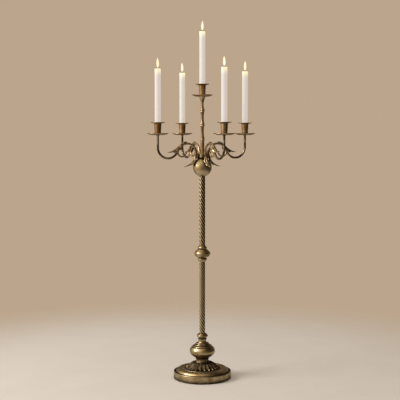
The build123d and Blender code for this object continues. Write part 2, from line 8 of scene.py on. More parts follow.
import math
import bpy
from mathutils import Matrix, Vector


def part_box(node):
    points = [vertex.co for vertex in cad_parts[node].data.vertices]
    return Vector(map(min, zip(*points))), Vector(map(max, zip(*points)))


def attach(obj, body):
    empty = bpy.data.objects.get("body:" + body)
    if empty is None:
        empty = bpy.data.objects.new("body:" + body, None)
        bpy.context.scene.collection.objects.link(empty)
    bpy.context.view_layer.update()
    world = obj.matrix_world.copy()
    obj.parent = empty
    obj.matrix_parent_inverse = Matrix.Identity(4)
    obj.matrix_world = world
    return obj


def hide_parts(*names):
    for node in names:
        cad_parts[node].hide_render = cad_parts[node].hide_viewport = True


bl_info = {
    "name": "Brass Floor Candelabra",
    "version": (1, 0, 0),
    "blender": (4, 5, 0),
    "location": "View3D > Sidebar > Candelabra",
    "description": "Leaves, candles, flames, finishes and stage of a brass floor candelabra",
    "category": "Object",
}

import bpy
from mathutils import Vector, noise

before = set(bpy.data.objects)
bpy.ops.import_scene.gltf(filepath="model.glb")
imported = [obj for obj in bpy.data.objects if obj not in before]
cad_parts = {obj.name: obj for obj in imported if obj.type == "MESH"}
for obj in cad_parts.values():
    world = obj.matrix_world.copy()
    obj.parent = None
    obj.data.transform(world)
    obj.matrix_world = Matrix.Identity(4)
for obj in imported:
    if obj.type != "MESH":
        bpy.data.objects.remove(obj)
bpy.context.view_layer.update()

MM = 0.001
SIDES = {"right": 0.0, "back": 90.0, "left": 180.0, "front": 270.0}
LIGHTS = (*SIDES, "top")
ARM_REACH = 177.0
ARM_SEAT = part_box("drip_pan_right")[0].z / MM
TOP_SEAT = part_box("drip_pan_top")[0].z / MM
# Further out than this along X or Y, a point belongs to a light on an arm
LIGHT_ZONE = 130.0

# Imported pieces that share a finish
TURNED = (
    "base_shell", "neck_spool", "lower_bulb", "bulb_cap", "lower_knop", "mid_lower_collar", "mid_bulb",
    "mid_upper_collar", "arm_hub",
)
ROPED = ("lower_shaft", "upper_shaft")
PLATED = ("tie_rod", "base_washer", "base_nut", "cup_screws", "arm_set_screws")

# From the bottom of a groove to its crest, and from the inner scroll of an arm to its outer leg, as radii
# round the column in millimetres
ROPE_GROOVE = (9.8, 10.6)
RING_GROOVE = (7.3, 8.3)
INNER_SCROLL = (95.0, 125.0)

# Stretches of a candle and its flame, as heights above the seat of the light in millimetres
CANDLE_RIM = 237.5
WAX_GLOW = (200.0, CANDLE_RIM)
WICK_CHAR = (236.5, 239.5)
WICK_EMBER = (243.8, 246.2)
FLAME_STRETCH = (241.5, 276.2)
WICK_ROOT = 234.0
FLAME_ROOT = 241.0

# What the lamps face, in metres
LAMP_AIM = Vector((0.0, 0.0, 0.62))


def length_property(name, description, default):
    return bpy.props.FloatProperty(
        name=name, description=description, default=default, subtype="DISTANCE", unit="LENGTH"
    )


def angle_property(name, description, degrees):
    return bpy.props.FloatProperty(
        name=name, description=description, default=math.radians(degrees), subtype="ANGLE", unit="ROTATION"
    )


def colour_property(name, description, default):
    return bpy.props.FloatVectorProperty(
        name=name, description=description, default=default, size=3, min=0.0, max=1.0, subtype="COLOR"
    )


class FormSettings(bpy.types.PropertyGroup):
    """Sizes of the pieces that are made here."""

    leaf_count: bpy.props.IntProperty(
        name="Collar leaves", description="Leaves in the band on the foot", default=22, min=8, max=40
    )
    leaf_relief: length_property("Leaf relief", "How far the band of leaves stands proud of the bell", 0.0012)
    husk_width: length_property("Husk leaf width", "Widest part of the leaf over each arch", 0.0210)
    spur_width: length_property("Spur leaf width", "Widest part of the leaf below each arm", 0.0172)
    flame_height: length_property("Flame height", "From the root of the flame to its tip", 0.0347)
    flame_width: length_property("Flame width", "Widest part of the flame", 0.0118)
    mantle_width: length_property("Mantle width", "Widest part of the faint glow round the flame", 0.0180)
    wick_stands: length_property("Wick", "Length of wick above the rim of the candle", 0.0085)


class FinishSettings(bpy.types.PropertyGroup):
    """Colours of the finishes, in linear light."""

    polished: colour_property("Polished brass", "Brass where hands and cloths rub it", (0.72, 0.615, 0.40))
    aged: colour_property("Aged brass", "Brass under its brown film", (0.335, 0.245, 0.115))
    # Partly painted light: besides its red-brown film, this warmth stands in for the glow of the flames that
    # the upper brass reflects
    warm: colour_property("Warm brass", "Red-brown film of the spindle and the lights", (0.36, 0.225, 0.096))
    dark: colour_property("Dark brass", "Thick film of the leaves", (0.155, 0.098, 0.048))
    bar: colour_property("Bar brass", "Nearly black film on the bars of the arms", (0.075, 0.047, 0.022))
    # Patina, and painted shade where shade falls, laid into grooves, corners and gaps
    grime: colour_property("Recess brown", "Dark film in grooves and corners", (0.030, 0.019, 0.008))
    wax: colour_property("Wax", "White candle wax", (0.92, 0.905, 0.90))
    # A painted glow over the whole candle, on top of half the wax colour
    wax_glow: colour_property("Wax glow", "Light that spreads along the candle", (0.50, 0.438, 0.388))
    warm_wax: colour_property("Warm wax", "Wax lit through by the flame", (0.95, 0.80, 0.46))
    flame_heart: colour_property("Flame heart", "Middle of the flame", (1.0, 0.96, 0.80))
    flame_edge: colour_property("Flame edge", "Edge and tip of the flame", (1.0, 0.68, 0.29))
    iron: colour_property("Iron", "Cast iron of the weight", (0.06, 0.055, 0.05))
    zinc: colour_property("Zinc", "Plated screws and rod", (0.62, 0.62, 0.60))
    felt: colour_property("Felt", "Felt under the foot", (0.035, 0.055, 0.035))


class StageSettings(bpy.types.PropertyGroup):
    """Camera, lamps, floor and backdrop."""

    azimuth: angle_property("Azimuth", "Way round the column to the camera", -25.7)
    distance: length_property("Distance", "Camera to column, along the floor", 3.488)
    height: length_property("Height", "Camera above the floor", 0.9034)
    lens: bpy.props.FloatProperty(
        name="Lens", description="Focal length on a 36 mm sensor", default=85.52,
        subtype="DISTANCE_CAMERA", unit="CAMERA",
    )
    pitch: angle_property("Pitch", "How far the camera looks down", 2.793)
    key_turn: angle_property("Key turn", "Way round from the camera to the large soft lamp, to the left", 72)
    key_lift: angle_property("Key lift", "How high the large soft lamp stands above the column's middle", 30)
    key_distance: length_property("Key distance", "Large soft lamp to column, along the floor", 4.0)
    key_power: bpy.props.FloatProperty(
        name="Key lamp", description="Power of the large soft lamp", default=150.0,
        subtype="POWER", unit="POWER",
    )
    wall: colour_property("Backdrop", "Plain colour behind the object", (0.497, 0.376, 0.261))
    floor: colour_property("Floor", "Plain pale floor", (0.86, 0.79, 0.71))


# Mesh helpers


def place(azimuth, across, side, height):
    """A point of an arm's own plane and its sideways offset, in millimetres, turned to the arm's azimuth."""
    angle = math.radians(azimuth)
    x = across * math.cos(angle) - side * math.sin(angle)
    y = across * math.sin(angle) + side * math.cos(angle)
    return (x * MM, y * MM, height * MM)


def seat_of(side):
    """Where a light stands: x, y and the height of its seat, in millimetres."""
    if side == "top":
        return (0.0, 0.0, TOP_SEAT)
    angle = math.radians(SIDES[side])
    return (ARM_REACH * math.cos(angle), ARM_REACH * math.sin(angle), ARM_SEAT)


def skin(loops, closed_along=False, cap_start=True):
    """Vertices and faces of a skin over loops of equal length, closed by fans or back on itself."""
    size, count = len(loops[0]), len(loops)
    verts = [point for loop in loops for point in loop]
    faces = []
    for i in range(count if closed_along else count - 1):
        here = i * size
        there = (i + 1) % count * size
        for k in range(size):
            n = (k + 1) % size
            faces.append((here + k, here + n, there + n, there + k))
    if closed_along:
        return verts, faces
    ends = [((count - 1) * size, False)]
    if cap_start:
        ends.insert(0, (0, True))
    for start, flip in ends:
        middle = len(verts)
        ring = verts[start:start + size]
        verts.append(tuple(sum(p[axis] for p in ring) / size for axis in range(3)))
        for k in range(size):
            n = (k + 1) % size
            pair = (start + n, start + k) if flip else (start + k, start + n)
            faces.append((*pair, middle))
    return verts, faces


def new_object(name, form, material):
    """A mesh object in the scene. Its form is a pair of vertices and faces."""
    verts, faces = form
    mesh = bpy.data.meshes.new(name)
    mesh.from_pydata(verts, [], faces)
    mesh.update()
    mesh.materials.append(material)
    made = bpy.data.objects.new(name, mesh)
    bpy.context.scene.collection.objects.link(made)
    return made


def new_piece(name, form, material, body, replaced=None, wear=None):
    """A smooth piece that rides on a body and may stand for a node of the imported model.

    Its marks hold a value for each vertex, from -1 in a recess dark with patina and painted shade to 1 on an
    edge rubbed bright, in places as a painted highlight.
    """
    piece = new_object(name, form, material)
    mesh = piece.data
    mesh.polygons.foreach_set("use_smooth", [True] * len(mesh.polygons))
    if wear:
        marks = mesh.attributes.new("wear", "FLOAT", "POINT")
        marks.data.foreach_set("value", wear + [0.0] * (len(mesh.vertices) - len(wear)))
    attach(piece, body)
    if replaced:
        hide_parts(replaced)
    return piece


def circle_loop(centre, radius, height, count, uneven=None):
    """A level ring of points round a centre, in millimetres. Uneven gives more reach and rise at an angle."""
    ring = []
    for k in range(count):
        angle = 2 * math.pi * k / count
        more_reach, more_rise = uneven(angle) if uneven else (0.0, 0.0)
        reach = radius + more_reach
        x = centre[0] + reach * math.cos(angle)
        y = centre[1] + reach * math.sin(angle)
        ring.append((x * MM, y * MM, (height + more_rise) * MM))
    return ring


def bezier(points, t):
    """A point and the direction on a cubic curve in an arm's plane."""
    a, b, c, d = (Vector(p) for p in points)
    s = 1 - t
    spot = a * s**3 + b * 3 * s * s * t + c * 3 * s * t * t + d * t**3
    way = (b - a) * 3 * s * s + (c - b) * 6 * s * t + (d - c) * 3 * t * t
    return spot, way.normalized()


def smooth(value):
    """An eased step from 0 to 1."""
    value = min(1.0, max(0.0, value))
    return value * value * (3 - 2 * value)


def between(stations, t):
    """A value eased between (share, value) stations."""
    for (t0, v0), (t1, v1) in zip(stations, stations[1:]):
        if t <= t1:
            return v0 + (v1 - v0) * smooth((t - t0) / (t1 - t0))
    return stations[-1][1]


def bump_at(value, middle, spread):
    """A bell curve of height 1."""
    return math.exp(-(((value - middle) / spread) ** 2))


# Material helpers


class Nodes:
    """Short ways to add and join the nodes of one tree."""

    def __init__(self, tree):
        self.tree = tree

    def set(self, node, values):
        """Gives inputs of a node plain values, or joins them to outputs of other nodes."""
        for socket, value in values.items():
            if isinstance(value, bpy.types.NodeSocket):
                self.tree.links.new(value, node.inputs[socket])
            else:
                node.inputs[socket].default_value = value

    def add(self, kind, values=None, **settings):
        node = self.tree.nodes.new(kind)
        for key, value in settings.items():
            setattr(node, key, value)
        self.set(node, values or {})
        return node

    def where(self):
        return self.add("ShaderNodeTexCoord").outputs["Object"]

    def math(self, operation, first, second=0.0, clamp=False):
        node = self.add("ShaderNodeMath", {0: first, 1: second}, operation=operation, use_clamp=clamp)
        return node.outputs[0]

    def span(self, value, low, high, to_low=0.0, to_high=1.0, kind="SMOOTHSTEP"):
        node = self.add(
            "ShaderNodeMapRange",
            {"Value": value, "From Min": low, "From Max": high, "To Min": to_low, "To Max": to_high},
            interpolation_type=kind,
        )
        return node.outputs["Result"]

    def along(self, height, stretch, kind="SMOOTHSTEP"):
        """How far a height has come along a stretch given in millimetres, from 0 to 1."""
        return self.span(height, stretch[0] * MM, stretch[1] * MM, kind=kind)

    def mix(self, share, first, second):
        node = self.add(
            "ShaderNodeMix", {0: share, 6: first, 7: second}, data_type="RGBA", clamp_factor=True
        )
        return node.outputs[2]

    def noise(self, where, scale, detail, roughness=0.5, distortion=0.0):
        node = self.add(
            "ShaderNodeTexNoise",
            {
                "Vector": where, "Scale": scale, "Detail": detail, "Roughness": roughness,
                "Distortion": distortion,
            },
        )
        return node.outputs["Fac"]

    def bump(self, strength, distance, height):
        node = self.add("ShaderNodeBump", {"Strength": strength, "Distance": distance, "Height": height})
        return node.outputs["Normal"]


def rgba(colour, share=1.0):
    """A colour with its alpha, darker or lighter by a share."""
    return (*(c * share for c in colour), 1.0)


def group_tree(name, inputs, outputs):
    """An empty shader group: its tree, the tree's helper, what it is given and the node it puts out to.

    Inputs are (name, kind, default) and outputs (name, kind).
    """
    tree = bpy.data.node_groups.new(name, "ShaderNodeTree")
    for label, kind, default in inputs:
        socket = tree.interface.new_socket(label, in_out="INPUT", socket_type=f"NodeSocket{kind}")
        socket.default_value = default
    for label, kind in outputs:
        tree.interface.new_socket(label, in_out="OUTPUT", socket_type=f"NodeSocket{kind}")
    n = Nodes(tree)
    return tree, n, n.add("NodeGroupInput").outputs, n.add("NodeGroupOutput")


def film_and_shading_group():
    """Brown film on brass: blotches, recesses dark with patina and painted shade, and edges rubbed brighter,
    in places as a painted highlight.
    """
    tree, n, given, out = group_tree(
        "Brass Film",
        (
            ("Polished", "Color", rgba((0.8, 0.6, 0.3))),
            ("Aged", "Color", rgba((0.5, 0.3, 0.1))),
            ("Grime", "Color", rgba((0.05, 0.03, 0.01))),
            ("Recess", "Float", 0.0),
            ("Edge", "Float", 0.0),
            ("Film", "Float", 0.5),
            ("Scale", "Float", 40.0),
        ),
        (("Color", "Color"), ("Roughness", "Float")),
    )
    where = n.where()
    thinnest = 0.3
    blotch = n.span(n.noise(where, given["Scale"], 5.0, 0.6), 0.34, 0.66, 0.0, 0.7)
    speck = n.span(n.noise(where, 380.0, 4.0, 0.7), 0.45, 0.75, 0.0, 0.25)
    patches = n.math("ADD", n.math("ADD", blotch, speck), thinnest)
    kept = n.math("SUBTRACT", 1.0, n.math("MULTIPLY", given["Edge"], 0.75), True)
    cover = n.math("MULTIPLY", n.math("MULTIPLY", patches, given["Film"]), kept, True)
    # Patina and painted shade in the recesses, less where an edge is rubbed
    recess = n.math("MULTIPLY", given["Recess"], kept, True)
    body = n.mix(cover, given["Polished"], given["Aged"])
    rough = n.math("ADD", n.math("MULTIPLY", cover, 0.16), n.math("MULTIPLY", recess, 0.3))
    n.set(out, {"Color": n.mix(recess, body, given["Grime"]), "Roughness": rough})
    return tree


def lathe_group():
    """Fine rings that a lathe and a polishing wheel leave, round the column or round the nearest light."""
    tree, n, given, out = group_tree(
        "Lathe Rings",
        (("Density", "Float", 900.0), ("Contrast", "Float", 0.5)),
        (("Height", "Float"), ("Mask", "Float")),
    )
    split = n.add("ShaderNodeSeparateXYZ", {0: n.where()}).outputs
    squares = []
    for axis in ("X", "Y"):
        size = n.math("ABSOLUTE", split[axis])
        outer = n.math("GREATER_THAN", size, LIGHT_ZONE * MM)
        offset = n.math("SUBTRACT", size, n.math("MULTIPLY", outer, ARM_REACH * MM))
        squares.append(n.math("MULTIPLY", offset, offset))
    radius = n.math("SQRT", n.math("ADD", *squares))
    spot = n.add("ShaderNodeCombineXYZ", {"X": radius, "Y": split["Z"], "Z": 0.0}).outputs[0]
    rings = n.noise(spot, given["Density"], 3.0, 0.75)
    mask = n.math("MULTIPLY", n.math("SUBTRACT", rings, 0.5), given["Contrast"])
    n.set(out, {"Height": rings, "Mask": mask})
    return tree


def grain_group():
    """The fine skin of cast or hand-worked metal: small dents and a soft orange peel."""
    tree, n, given, out = group_tree(
        "Cast Grain",
        (("Scale", "Float", 260.0), ("Dents", "Float", 0.3)),
        (("Height", "Float"), ("Mask", "Float")),
    )
    where = n.where()
    peel = n.noise(where, given["Scale"], 6.0, 0.6)
    cells = n.add("ShaderNodeTexVoronoi", {"Vector": where, "Scale": 90.0}, feature="SMOOTH_F1")
    dent = n.math("MULTIPLY", n.span(cells.outputs["Distance"], 0.05, 0.35), given["Dents"])
    mask = n.math("MULTIPLY", n.math("SUBTRACT", peel, 0.5), 0.2)
    n.set(out, {"Height": n.math("ADD", peel, dent), "Mask": mask})
    return tree


def depth_group():
    """How deep a point of the column lies between two radii, from 1 at the lower to 0 at the higher."""
    tree, n, given, out = group_tree(
        "Column Depth", (("Low", "Float", 0.0), ("High", "Float", 0.01)), (("Depth", "Float"),)
    )
    level = (1.0, 1.0, 0.0)
    flat = n.add("ShaderNodeVectorMath", {0: n.where(), 1: level}, operation="MULTIPLY").outputs[0]
    radius = n.add("ShaderNodeVectorMath", {0: flat}, operation="LENGTH").outputs["Value"]
    n.set(out, {"Depth": n.span(radius, given["Low"], given["High"], 1.0, 0.0)})
    return tree


def light_height_group():
    """Height above the seat of the nearest light, for what changes along a candle or a flame."""
    tree, n, given, out = group_tree("Light Height", (), (("Height", "Float"),))
    split = n.add("ShaderNodeSeparateXYZ", {0: n.where()}).outputs
    outer = [
        n.math("GREATER_THAN", n.math("ABSOLUTE", split[axis]), LIGHT_ZONE * MM) for axis in ("X", "Y")
    ]
    lift = n.math("MULTIPLY", n.math("MAXIMUM", *outer), (TOP_SEAT - ARM_SEAT) * MM)
    n.set(out, {"Height": n.math("SUBTRACT", n.math("ADD", split["Z"], lift), TOP_SEAT * MM)})
    return tree


GROUP_MAKERS = {
    "Brass Film": film_and_shading_group,
    "Lathe Rings": lathe_group,
    "Cast Grain": grain_group,
    "Column Depth": depth_group,
    "Light Height": light_height_group,
}


def use_group(n, name, values=None):
    """The outputs of a shared group, which is made on first use."""
    tree = bpy.data.node_groups.get(name) or GROUP_MAKERS[name]()
    return n.add("ShaderNodeGroup", values, node_tree=tree).outputs


def column_depth(n, radii):
    """Depth below the higher of two radii, given in millimetres."""
    return use_group(n, "Column Depth", {"Low": radii[0] * MM, "High": radii[1] * MM})["Depth"]


def new_material(name):
    """A material with its shader alone, the helper of its tree, and the shader."""
    material = bpy.data.materials.new(name)
    material.use_nodes = True
    material.node_tree.nodes.clear()
    n = Nodes(material.node_tree)
    shader = n.add("ShaderNodeBsdfPrincipled")
    n.add("ShaderNodeOutputMaterial", {"Surface": shader.outputs["BSDF"]})
    return material, n, shader


def finishes():
    return bpy.context.scene.candelabra_finish


def make_brass(name, film, cover, shading, rough=0.22, scale=40.0, lathe=0.0, grain=0.0):
    """One brass finish, covered by a film of one of the finish colours.

    Shading says where patina, rub, painted shade and painted highlight go over the film: "corners" lays
    patina and painted shade into what is closed in, "rope" into the grooves of the twisted tubes, "rings"
    brightens the rings of the spindle as rub and painted highlight, "arch" lightens and warms the inner
    scroll of the arms as rub and painted light, the kind that follows the marks a piece carries takes rub and
    painted highlight above nought and patina and painted shade below, and "plain" nothing. Lathe and grain
    say how much of each mark shows.
    """
    colours = finishes()
    material, n, shader = new_material(name)
    film_tone = rgba(getattr(colours, film))
    recess, edge = 0.0, 0.0
    # Patina and painted shade where a piece is closed in by itself or its neighbours, found by an occlusion
    # test
    if shading == "corners":
        open_sky = n.add("ShaderNodeAmbientOcclusion", {"Distance": 0.028}, samples=16).outputs["AO"]
        recess = n.span(n.math("SUBTRACT", 1.0, open_sky), 0.12, 0.46)
    # Patina and painted shade in the grooves of the twisted tubes, leaving the crests bright
    elif shading == "rope":
        recess = column_depth(n, ROPE_GROOVE)
    # Ring crests of the spindle rubbed brighter, in part a painted highlight
    elif shading == "rings":
        edge = n.math("SUBTRACT", 1.0, column_depth(n, RING_GROOVE))
    # Inner scroll of the arms and hooks lighter and warmer than the legs: rubbed brass, and painted light
    # where the arch tops catch the lamp
    elif shading == "arch":
        inner = column_depth(n, INNER_SCROLL)
        edge = n.math("MULTIPLY", inner, 0.4)
        film_tone = n.mix(inner, film_tone, rgba(colours.warm))
    # A piece's own marks: rub and painted highlight above nought, patina and painted shade below nought
    elif shading == "wear":
        wear = n.add("ShaderNodeAttribute", attribute_name="wear").outputs["Fac"]
        recess = n.math("MULTIPLY", wear, -1.0, True)
        edge = n.math("MULTIPLY", wear, 1.0, True)
    aged = use_group(
        n, "Brass Film",
        {
            "Polished": rgba(colours.polished), "Aged": film_tone, "Grime": rgba(colours.grime),
            "Recess": recess, "Edge": edge, "Film": cover, "Scale": scale,
        },
    )
    if lathe:
        marks = use_group(n, "Lathe Rings", {"Density": 1400.0, "Contrast": lathe})
    else:
        marks = use_group(n, "Cast Grain", {"Scale": 320.0, "Dents": grain})
    dull = n.math("ADD", aged["Roughness"], rough)
    n.set(
        shader,
        {
            "Base Color": aged["Color"], "Metallic": 1.0,
            "Roughness": n.math("ADD", dull, marks["Mask"], True),
            "Normal": n.bump(0.05, 0.0003, marks["Height"]),
        },
    )
    return material


BRASS = {
    "Turned Brass": {"film": "aged", "cover": 0.95, "shading": "corners", "lathe": 0.08},
    "Ball Brass": {"film": "aged", "cover": 0.7, "shading": "corners", "rough": 0.32, "grain": 0.1},
    "Spindle Brass": {"film": "warm", "cover": 1.2, "shading": "rings", "lathe": 0.03},
    "Rope Brass": {
        "film": "aged", "cover": 0.2, "shading": "rope", "rough": 0.16, "scale": 60.0, "grain": 0.1,
    },
    "Bar Brass": {"film": "bar", "cover": 1.2, "shading": "arch", "grain": 0.1},
    "Leaf Brass": {"film": "dark", "cover": 0.85, "shading": "wear", "scale": 70.0, "grain": 0.1},
    "Collar Brass": {
        "film": "dark", "cover": 0.95, "shading": "wear", "rough": 0.4, "scale": 70.0, "grain": 0.3,
    },
    "Cup and Pan Brass": {"film": "warm", "cover": 1.2, "shading": "plain", "scale": 44.0, "lathe": 0.05},
}


def brass(name):
    """A brass finish by its name, made on first use."""
    return bpy.data.materials.get(name) or make_brass(name, **BRASS[name])


def wax_material():
    """White wax that lets light through: half the wax colour on the surface, and a painted glow over the
    whole candle for the rest, warm and bright under the flame.
    """
    colours = finishes()
    material, n, shader = new_material("White Wax")
    height = use_group(n, "Light Height")["Height"]
    where = n.where()
    lit_share = 0.5
    cloud = n.noise(where, 55.0, 4.0, 0.55)
    clear, cloudy = rgba(colours.wax, lit_share), rgba(colours.wax, lit_share * 0.955)
    smear = n.noise(where, 180.0, 3.0)
    glow = n.along(height, WAX_GLOW)
    glow = n.math("MULTIPLY", glow, glow)
    n.set(
        shader,
        {
            "Base Color": n.mix(n.span(cloud, 0.35, 0.65), clear, cloudy), "IOR": 1.43,
            "Roughness": n.span(smear, 0.3, 0.7, 0.34, 0.52, "LINEAR"),
            "Emission Color": n.mix(glow, rgba(colours.wax_glow), rgba(colours.warm_wax)),
            "Emission Strength": 0.9, "Normal": n.bump(0.03, 0.0006, cloud),
        },
    )
    material.cycles.emission_sampling = "NONE"
    return material


def wick_material():
    """Cotton braid, charred black towards an ember at its tip."""
    material, n, shader = new_material("Charred Wick")
    height = use_group(n, "Light Height")["Height"]
    pale, tan, char, ember = (
        rgba(c) for c in ((0.62, 0.54, 0.40), (0.42, 0.34, 0.22), (0.012, 0.010, 0.009), (1.0, 0.25, 0.04))
    )
    braid = n.add(
        "ShaderNodeTexWave", {"Vector": n.where(), "Scale": 700.0, "Distortion": 2.0},
        bands_direction="DIAGONAL",
    ).outputs["Fac"]
    n.set(
        shader,
        {
            "Base Color": n.mix(n.along(height, WICK_CHAR), n.mix(braid, tan, pale), char), "Roughness": 0.9,
            "Emission Color": n.mix(n.along(height, WICK_EMBER), rgba((0, 0, 0)), ember),
            "Emission Strength": 1.6, "Normal": n.bump(0.5, 0.0003, braid),
        },
    )
    material.cycles.emission_sampling = "NONE"
    return material


def flame_material(name, heart, strength, thin, root_share):
    """Glowing gas: clearer towards its outline, where it thins out, and at its root."""
    edge = rgba(finishes().flame_edge)
    material, n, shader = new_material(name)
    share = n.along(use_group(n, "Light Height")["Height"], FLAME_STRETCH, "LINEAR")
    facing = n.add("ShaderNodeLayerWeight", {"Blend": 0.5}).outputs["Facing"]
    colour = n.mix(n.span(facing, 0.4, 0.95), rgba(heart), edge)
    body = n.span(facing, 0.4, 1.0, thin, 0.0)
    root = n.span(share, -0.05, 0.2, root_share, 1.0)
    n.set(
        shader,
        {
            "Base Color": rgba((0, 0, 0)), "Roughness": 1.0, "Specular IOR Level": 0.0,
            "Emission Color": n.mix(n.span(share, 0.78, 1.05), colour, edge), "Emission Strength": strength,
            "Alpha": n.math("MULTIPLY", body, root),
        },
    )
    material.cycles.emission_sampling = "NONE"
    return material


def plain_metal(name, colour, metallic, rough, scale):
    """Iron or plated steel, for the pieces that hardly show."""
    material, n, shader = new_material(name)
    marks = use_group(n, "Cast Grain", {"Scale": scale, "Dents": 0.4})
    mask = marks["Mask"]
    n.set(
        shader,
        {
            "Base Color": n.mix(n.span(mask, -0.04, 0.04), rgba(colour, 0.72), rgba(colour)),
            "Metallic": metallic,
            "Roughness": n.span(mask, -0.05, 0.05, rough - 0.1, rough + 0.12, "LINEAR"),
            "Normal": n.bump(0.35, 0.0005, marks["Height"]),
        },
    )
    return material


def felt_material():
    """Pressed wool: short crossed fibres in a dark green."""
    colour = finishes().felt
    material, n, shader = new_material("Pressed Felt")
    fibre = n.noise(n.where(), 900.0, 5.0, distortion=3.0)
    n.set(
        shader,
        {
            "Base Color": n.mix(n.span(fibre, 0.3, 0.7), rgba(colour, 0.6), rgba(colour, 1.5)),
            "Roughness": 0.95, "Sheen Weight": 0.4, "Normal": n.bump(0.6, 0.0006, fibre),
        },
    )
    return material


def dress(nodes, material):
    """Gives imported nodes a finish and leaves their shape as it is."""
    for name in nodes:
        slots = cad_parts[name].data.materials
        slots.clear()
        slots.append(material)


# Pieces


class CANDELABRA_OT_metal(bpy.types.Operator):
    """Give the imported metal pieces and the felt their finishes"""

    bl_idname = "candelabra.metal"
    bl_label = "Metal Finishes"

    def execute(self, context):
        colours = finishes()
        dress(TURNED, brass("Turned Brass"))
        dress(("ball",), brass("Ball Brass"))
        dress(("spindle",), brass("Spindle Brass"))
        dress(ROPED, brass("Rope Brass"))
        dress([f"arm_{side}" for side in SIDES], brass("Bar Brass"))
        for kind in ("drip_pan", "candle_cup"):
            dress([f"{kind}_{side}" for side in LIGHTS], brass("Cup and Pan Brass"))
        dress(PLATED, plain_metal("Zinc Plate", colours.zinc, 1.0, 0.34, 500.0))
        dress(("base_weight",), plain_metal("Cast Iron", colours.iron, 0.6, 0.66, 220.0))
        dress(("felt_pad",), felt_material())
        return {"FINISHED"}


def collar_profile(leaf_share, relief):
    """Rows of the collar's section at one place across a leaf, as (radius, height, wear), in millimetres.

    leaf_share runs from -1 to 1 across a leaf, with 0 on its midrib.
    """
    u = abs(leaf_share)
    tip = smooth(1 - u / 0.62)
    lip_radius = 54.2 + 3.9 * tip
    top_radius, bell_foot, bell_top = 36.6, 37.2, 57.2
    half_widths = ((0.0, 0.42), (0.12, 0.74), (0.34, 0.93), (0.62, 0.86), (1.0, 0.70))
    lobes, steps = 4.0, 40
    # The plain ring, its crest rubbed bright and in part a painted highlight; the sunk flat inside it and the
    # underside of the leaf tips, dark with patina and painted shade
    rows = [
        (50.0, 35.0, -1), (69.9, 35.0, -1), (70.4, 35.4, 0), (70.5, 35.9, 0.8), (70.2, 36.5, 1),
        (69.4, 36.8, 1), (67.6, 36.8, 0.6), (66.6, 36.5, 0), (66.0, 35.9, -0.7), (62.0, 35.8, -1),
        (lip_radius - 2.2, 35.9, -1), (lip_radius - 0.9, 36.6 + 0.5 * tip, tip - 1),
    ]
    for i in range(steps + 1):
        s = i / steps
        lean = math.radians(12 + 62 * s)
        swell = math.sin(math.pi * s)
        low = bell_foot + 0.9 * tip * (1 - s)
        radius = top_radius + (lip_radius - top_radius) * (1 - s) ** 0.94 + 1.6 * swell
        height = low + (bell_top - low) * s**1.04 + 1.2 * swell
        half = between(half_widths, s)
        lobe = 0.10 * (0.5 - 0.5 * math.cos(2 * math.pi * (s * lobes - 0.4 * u)))
        inside = smooth((half - lobe - u) / 0.16)
        # Relief of the leaf, and of the small leaf that shows under two neighbours
        crown = inside * (0.55 + 0.45 * math.cos(min(1.0, u / half) * math.pi / 2))
        rib = 0.75 * bump_at(u, 0.0, 0.10) * (1 - 0.4 * s)
        vein = 0.32 * inside * max(0.0, math.cos(2 * math.pi * (s * lobes - 0.9 * u))) * smooth(u / 0.2)
        valley = 0.45 * inside * bump_at(u, 0.24, 0.12)
        under = 0.55 * bump_at(u, 1.0, 0.13) * smooth((s - 0.15) / 0.3)
        curl = 1.5 * tip * bump_at(s, 0.05, 0.09)
        push = relief * (crown + rib + vein - valley + under - 0.5) + curl
        # Curled tips rubbed bright, in part a painted highlight; dark gaps between them, painted shade under
        # the tips; the rest of the bell dark with patina and painted shade
        gap = (1 - tip) * bump_at(s, 0.0, 0.16)
        wear = 1.5 * tip * bump_at(s, 0.03, 0.07) + 0.15 * rib + 0.18 * inside - 0.72 - 0.5 * gap
        wear = max(-1.0, min(1.0, wear))
        rows.append((radius + push * math.cos(lean), height + push * math.sin(lean), wear))
    # The flat on top and the hollow inside, dark with patina and painted shade
    rows += [(36.3, 58.0, -1), (22.0, 58.0, -1), (22.0, 54.0, -1), (34.0, 51.0, -1), (44.0, 42.0, -1)]
    return rows


class CANDELABRA_OT_collar(bpy.types.Operator):
    """Make the collar on the foot, with its band of leaves"""

    bl_idname = "candelabra.collar"
    bl_label = "Leaf Collar"

    def execute(self, context):
        form = context.scene.candelabra_form
        across = 24
        columns, wear = [], []
        for leaf in range(form.leaf_count):
            for k in range(across):
                turn = 2 * math.pi * (leaf + k / across) / form.leaf_count
                x, y = math.cos(turn) * MM, math.sin(turn) * MM
                rows = collar_profile(-1 + 2 * k / across, form.leaf_relief / MM)
                columns.append([(radius * x, radius * y, height * MM) for radius, height, mark in rows])
                wear += [mark for radius, height, mark in rows]
        new_piece(
            "leaf_collar_band", skin(columns, closed_along=True), brass("Collar Brass"), "stand",
            "leaf_collar", wear,
        )
        return {"FINISHED"}


